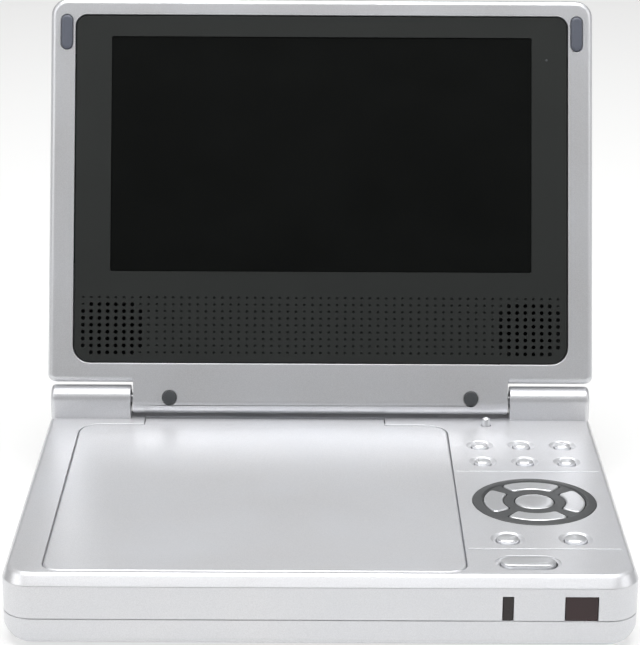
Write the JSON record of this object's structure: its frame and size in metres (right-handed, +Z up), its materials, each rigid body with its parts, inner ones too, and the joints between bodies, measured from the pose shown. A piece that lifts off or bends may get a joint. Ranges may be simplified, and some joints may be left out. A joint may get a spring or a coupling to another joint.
{
  "type": "portable disc player with a folding screen",
  "caption": "Flat base with a lift-up disc cover, a key deck with a navigation ring, and a wide screen lid with a speaker grille on two friction hinges.",
  "frame": {"origin": "middle of the base in plan, on the plane that the rubber feet stand on", "axes": "+X to the right of a person facing the screen, +Y to the back, +Z up; the lid is open by 110 degrees at rest"},
  "size_m": [0.2, 0.2042, 0.1703],
  "materials": {
    "silver_paint": "satin silver paint on moulded ABS",
    "silver_key": "glossy silver lacquer",
    "tray_grey": "fine matte",
    "mask_grey": "fine texture, matte",
    "ring_grey": "satin grey metallic",
    "screen_glass": "semi-gloss screen surface",
    "tinted_window": "dark red-brown tinted window",
    "rubber_slate": "smooth rubber",
    "black_plastic": "moulded matte",
    "steel": "plated sheet and turned steel",
    "zinc": "zinc-plated can",
    "board_green": "solder-masked board",
    "battery_wrap": "shrink wrap",
    "socket_yellow": "yellow moulded socket",
    "speaker_paper": "paper cone in a black basket"
  },
  "bodies": {
    "base": {"base_bottom_case": "silver_paint", "base_top_case": "silver_paint", "hinge_cover_left": "silver_paint", "hinge_cover_right": "silver_paint", "hinge_sleeves": "steel", "rubber_feet": "rubber_slate", "base_screws": "steel", "disc_tray": "tray_grey", "traverse_chassis": "steel", "chassis_grommets": "rubber_slate", "spindle_motor": "zinc", "guide_rods": "steel", "sled_motor": "zinc", "main_board": "board_green", "battery_pack": "battery_wrap", "key_board": "board_green", "front_board": "board_green", "jack_board": "board_green", "headphone_jacks": "black_plastic", "av_jack": "socket_yellow", "dc_jack": "black_plastic", "lid_switch": "black_plastic", "nav_ring": "ring_grey", "ir_window": "tinted_window", "led_window": "tinted_window", "cover_hinge_pins": "steel"},
    "lid": {"lid_front_frame": "silver_paint", "lid_back_cover": "silver_paint", "screen_mask": "mask_grey", "screen_window": "screen_glass", "lcd_panel": "zinc", "lcd_driver_board": "board_green", "inverter_board": "board_green", "speakers": "speaker_paper", "bumpers_oblong": "rubber_slate", "screw_caps": "rubber_slate", "hinge_shaft_left": "steel", "hinge_shaft_right": "steel"},
    "disc_cover": {"disc_cover": "silver_paint"},
    "latch_bar": {"latch_bar": "black_plastic"},
    "spindle_hub": {"spindle_hub": "black_plastic"},
    "pickup_sled": {"pickup_sled": "black_plastic"},
    "lead_screw": {"lead_screw": "steel"},
    "volume_wheel": {"volume_wheel": "black_plastic"},
    "power_switch": {"power_switch": "black_plastic"},
    "lid_switch_pin": {"lid_switch_pin": "silver_key"},
    "upper_key_1": {"upper_key_1": "silver_key"},
    "upper_key_2": {"upper_key_2": "silver_key"},
    "upper_key_3": {"upper_key_3": "silver_key"},
    "upper_key_4": {"upper_key_4": "silver_key"},
    "upper_key_5": {"upper_key_5": "silver_key"},
    "upper_key_6": {"upper_key_6": "silver_key"},
    "lower_key_left": {"lower_key_left": "silver_key"},
    "lower_key_right": {"lower_key_right": "silver_key"},
    "nav_key_up": {"nav_key_up": "silver_key"},
    "nav_key_down": {"nav_key_down": "silver_key"},
    "nav_key_left": {"nav_key_left": "silver_key"},
    "nav_key_right": {"nav_key_right": "silver_key"},
    "center_key": {"center_key": "silver_key"},
    "open_key": {"open_key": "silver_key"}
  },
  "joints": [
    {"name": "lid_hinge", "type": "hinge", "parent": "base", "child": "lid", "pos_m": [0, 0.0711, 0.03075], "axis": [-1, 0, 0], "range_deg": [-110.25, 35]},
    {"name": "disc_cover_hinge", "type": "hinge", "parent": "base", "child": "disc_cover", "pos_m": [0, 0.066, 0.022], "axis": [-1, 0, 0], "range_deg": [0, 50]},
    {"name": "upper_key_1_press", "type": "slide", "parent": "base", "child": "upper_key_1", "axis": [0, 0, -1], "range_m": [0, 0.0004], "stiffness_N_per_m": 400},
    {"name": "upper_key_2_press", "type": "slide", "parent": "base", "child": "upper_key_2", "axis": [0, 0, -1], "range_m": [0, 0.0004], "stiffness_N_per_m": 400},
    {"name": "upper_key_3_press", "type": "slide", "parent": "base", "child": "upper_key_3", "axis": [0, 0, -1], "range_m": [0, 0.0004], "stiffness_N_per_m": 400},
    {"name": "upper_key_4_press", "type": "slide", "parent": "base", "child": "upper_key_4", "axis": [0, 0, -1], "range_m": [0, 0.0004], "stiffness_N_per_m": 400},
    {"name": "upper_key_5_press", "type": "slide", "parent": "base", "child": "upper_key_5", "axis": [0, 0, -1], "range_m": [0, 0.0004], "stiffness_N_per_m": 400},
    {"name": "upper_key_6_press", "type": "slide", "parent": "base", "child": "upper_key_6", "axis": [0, 0, -1], "range_m": [0, 0.0004], "stiffness_N_per_m": 400},
    {"name": "lower_key_left_press", "type": "slide", "parent": "base", "child": "lower_key_left", "axis": [0, 0, -1], "range_m": [0, 0.0004], "stiffness_N_per_m": 400},
    {"name": "lower_key_right_press", "type": "slide", "parent": "base", "child": "lower_key_right", "axis": [0, 0, -1], "range_m": [0, 0.0004], "stiffness_N_per_m": 400},
    {"name": "nav_key_up_press", "type": "slide", "parent": "base", "child": "nav_key_up", "axis": [0, 0, -1], "range_m": [0, 0.0004], "stiffness_N_per_m": 400},
    {"name": "nav_key_down_press", "type": "slide", "parent": "base", "child": "nav_key_down", "axis": [0, 0, -1], "range_m": [0, 0.0004], "stiffness_N_per_m": 400},
    {"name": "nav_key_left_press", "type": "slide", "parent": "base", "child": "nav_key_left", "axis": [0, 0, -1], "range_m": [0, 0.0004], "stiffness_N_per_m": 400},
    {"name": "nav_key_right_press", "type": "slide", "parent": "base", "child": "nav_key_right", "axis": [0, 0, -1], "range_m": [0, 0.0004], "stiffness_N_per_m": 400},
    {"name": "center_key_press", "type": "slide", "parent": "base", "child": "center_key", "axis": [0, 0, -1], "range_m": [0, 0.0004], "stiffness_N_per_m": 400},
    {"name": "open_key_press", "type": "slide", "parent": "base", "child": "open_key", "axis": [0, 0, -1], "range_m": [0, 0.001], "stiffness_N_per_m": 400},
    {"name": "latch_bar_slide", "type": "slide", "parent": "base", "child": "latch_bar", "axis": [1, 0, 0], "range_m": [0, 0.0016]},
    {"name": "lid_switch_pin_press", "type": "slide", "parent": "base", "child": "lid_switch_pin", "axis": [0, 0, -1], "range_m": [-0.0007, 0.00205]},
    {"name": "spindle_turn", "type": "hinge", "parent": "base", "child": "spindle_hub", "pos_m": [-0.0206, -0.006, 0.018], "axis": [0, 0, 1], "continuous": true},
    {"name": "sled_slide", "type": "slide", "parent": "base", "child": "pickup_sled", "axis": [-1, 0, 0], "range_m": [0, 0.032]},
    {"name": "lead_screw_turn", "type": "hinge", "parent": "base", "child": "lead_screw", "pos_m": [-0.06, -0.0325, 0.0112], "axis": [1, 0, 0], "continuous": true},
    {"name": "volume_wheel_turn", "type": "hinge", "parent": "base", "child": "volume_wheel", "pos_m": [0.094, 0.014, 0.0146], "axis": [0, 0, 1], "range_deg": [-135, 135]},
    {"name": "power_switch_slide", "type": "slide", "parent": "base", "child": "power_switch", "axis": [0, 1, 0], "range_m": [0, 0.003]}
  ],
  "couplings": [
    {"joint": "lid_switch_pin_press", "follows": "lid_hinge", "m_per_rad": -0.0010394},
    {"joint": "latch_bar_slide", "follows": "open_key_press", "ratio": 1.5}
  ]
}
